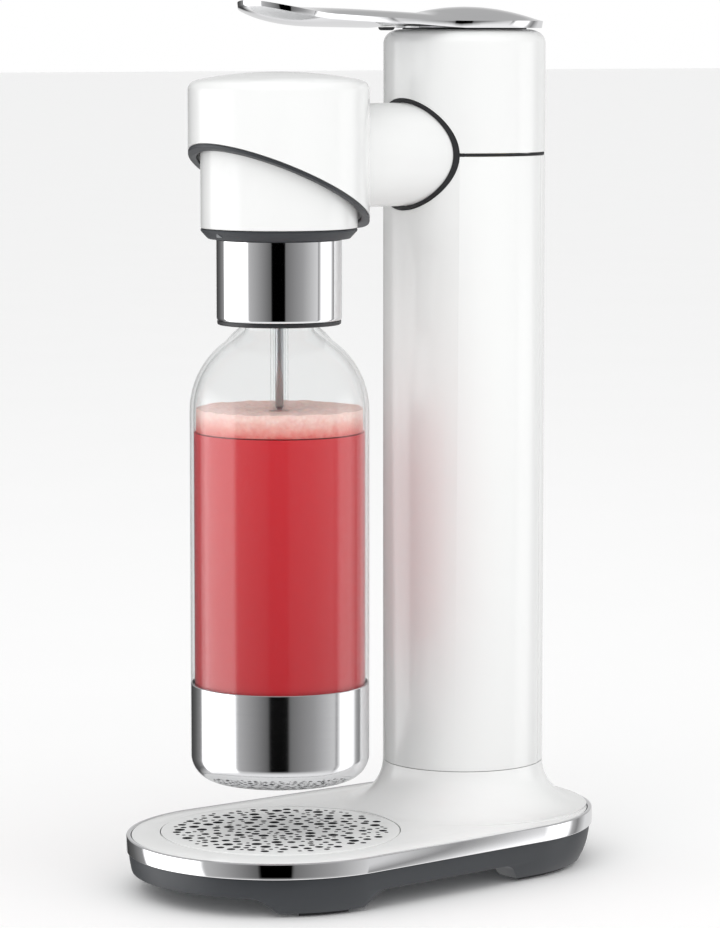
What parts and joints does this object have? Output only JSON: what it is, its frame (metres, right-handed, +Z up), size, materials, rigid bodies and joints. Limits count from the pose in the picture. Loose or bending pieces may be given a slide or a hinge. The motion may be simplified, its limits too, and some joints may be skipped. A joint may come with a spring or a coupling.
{
  "type": "soda carbonator",
  "caption": "Manual carbonator: column stand with gas cylinder, press lever, tilting head sleeve, vented cap, screw-on bottle and lift-out drip tray.",
  "frame": {"origin": "middle of the footprint, on the surface it stands on", "axes": "+Z up; -Y is the bottle side, +Y the column and its rear cover; +X is the user's right when facing the back"},
  "size_m": [0.1432, 0.2478, 0.4163],
  "materials": {
    "white_gloss": "smooth glossy white, very slightly warm",
    "dark_grey": "satin moulded slate grey",
    "black_rubber": "matt black",
    "black_plastic": "satin black",
    "polished_chrome": "mirror polished",
    "brushed_steel": "fine brushed, nearly polished",
    "plain_steel": "plain machined or pressed",
    "brass": "machined",
    "cylinder_paint": "satin lacquered",
    "clear_plastic": "clear, smooth",
    "drink": "red drink full of fine bubbles",
    "froth": "pale pink froth"
  },
  "bodies": {
    "stand": {"foot_pad_front_left": "black_rubber", "foot_pad_front_right": "black_rubber", "foot_pad_rear_left": "black_rubber", "foot_pad_rear_right": "black_rubber", "underbase": "dark_grey", "base_trim_band": "polished_chrome", "base_top": "white_gloss", "base_screw_1": "plain_steel", "base_screw_2": "plain_steel", "base_screw_3": "plain_steel", "base_screw_4": "plain_steel", "column_shell": "white_gloss", "upper_column": "white_gloss", "column_seam_gasket": "black_rubber", "neck_gasket": "black_rubber", "column_chassis": "plain_steel", "cylinder_seat": "dark_grey", "valve_mount_plate": "plain_steel", "valve_block": "brass", "cylinder_seal": "black_rubber", "valve_screw_1": "plain_steel", "valve_screw_2": "plain_steel", "lever_bracket": "black_plastic", "lever_hinge_pin": "plain_steel", "head_shell": "white_gloss", "head_trim": "dark_grey", "head_frame": "plain_steel", "injector": "brass", "injector_seal": "black_rubber", "gas_pipe": "plain_steel", "sleeve_pin_left": "plain_steel", "sleeve_pin_right": "plain_steel"},
    "press_lever": {"lever": "polished_chrome", "lever_actuator": "plain_steel", "lever_plug": "black_rubber"},
    "plunger": {"valve_plunger": "plain_steel", "return_spring": "plain_steel"},
    "gas_cylinder": {"gas_cylinder": "cylinder_paint", "cylinder_valve": "brass"},
    "valve_pin": {"cylinder_valve_pin": "plain_steel"},
    "rear_cover": {"rear_cover": "white_gloss"},
    "drip_bowl": {"drip_bowl": "dark_grey"},
    "drip_grille": {"drip_grille": "white_gloss"},
    "sleeve": {"tilt_sleeve": "white_gloss", "cap_latch_ring": "plain_steel"},
    "cap": {"cap_ring": "dark_grey", "cap_collar": "polished_chrome", "cap_core": "dark_grey", "cap_seal": "black_rubber", "cap_inlet": "plain_steel", "carbonating_tube": "clear_plastic", "nozzle_rod": "plain_steel", "release_lever_pin": "plain_steel"},
    "release_lever": {"release_lever": "dark_grey"},
    "vent_valve": {"vent_valve": "plain_steel"},
    "relief_valve": {"relief_valve": "brass"},
    "bottle": {"bottle_shell": "clear_plastic", "bottle_base_cup": "brushed_steel", "drink": "drink", "drink_froth": "froth"}
  },
  "joints": [
    {"name": "lever_press", "type": "hinge", "parent": "stand", "child": "press_lever", "pos_m": [0, 0.0824, 0.398], "axis": [1, 0, 0], "range_deg": [0, 2.5], "stiffness_Nm_per_rad": 8, "springref_deg": -2.86},
    {"name": "plunger_slide", "type": "slide", "parent": "stand", "child": "plunger", "axis": [0, 0, -1], "range_m": [0, 0.0009], "deforming": ["return_spring"]},
    {"name": "gas_cylinder_turn", "type": "hinge", "parent": "stand", "child": "gas_cylinder", "pos_m": [0, 0.0624, 0.014], "axis": [0, 0, 1], "range_deg": [-900, 0]},
    {"name": "valve_pin_slide", "type": "slide", "parent": "gas_cylinder", "child": "valve_pin", "axis": [0, 0, -1], "range_m": [0, 0.0009]},
    {"name": "rear_cover_off", "type": "slide", "parent": "stand", "child": "rear_cover", "axis": [0, 1, 0], "range_m": [0, 0.06]},
    {"name": "bowl_lift", "type": "slide", "parent": "stand", "child": "drip_bowl", "axis": [0, 0, 1], "range_m": [0, 0.014]},
    {"name": "grille_lift", "type": "slide", "parent": "drip_bowl", "child": "drip_grille", "axis": [0, 0, 1], "range_m": [0, 0.006]},
    {"name": "sleeve_tilt", "type": "hinge", "parent": "stand", "child": "sleeve", "pos_m": [0, -0.0588, 0.351], "axis": [-1, 0, 0], "range_deg": [0, 12]},
    {"name": "cap_drop", "type": "slide", "parent": "sleeve", "child": "cap", "axis": [0, 0, 1], "range_m": [-0.02, 0]},
    {"name": "release_pull", "type": "hinge", "parent": "cap", "child": "release_lever", "pos_m": [0, -0.018, 0.309], "axis": [-1, 0, 0], "range_deg": [0, 20]},
    {"name": "vent_slide", "type": "slide", "parent": "cap", "child": "vent_valve", "axis": [0, 0, 1], "range_m": [0, 0.0015], "stiffness_N_per_m": 60, "springref_m": -0.003},
    {"name": "relief_pop", "type": "slide", "parent": "cap", "child": "relief_valve", "axis": [0, 0, 1], "range_m": [0, 0.0015], "stiffness_N_per_m": 2000, "springref_m": -0.002},
    {"name": "bottle_twist", "type": "hinge", "parent": "cap", "child": "bottle", "pos_m": [0, -0.0508, 0.28], "axis": [0, 0, 1], "range_deg": [-180, 0]}
  ],
  "couplings": [
    {"joint": "plunger_slide", "follows": "lever_press", "m_per_rad": 0.02},
    {"joint": "valve_pin_slide", "follows": "lever_press", "m_per_rad": 0.02},
    {"joint": "release_pull", "follows": "vent_slide", "rad_per_m": 232}
  ]
}
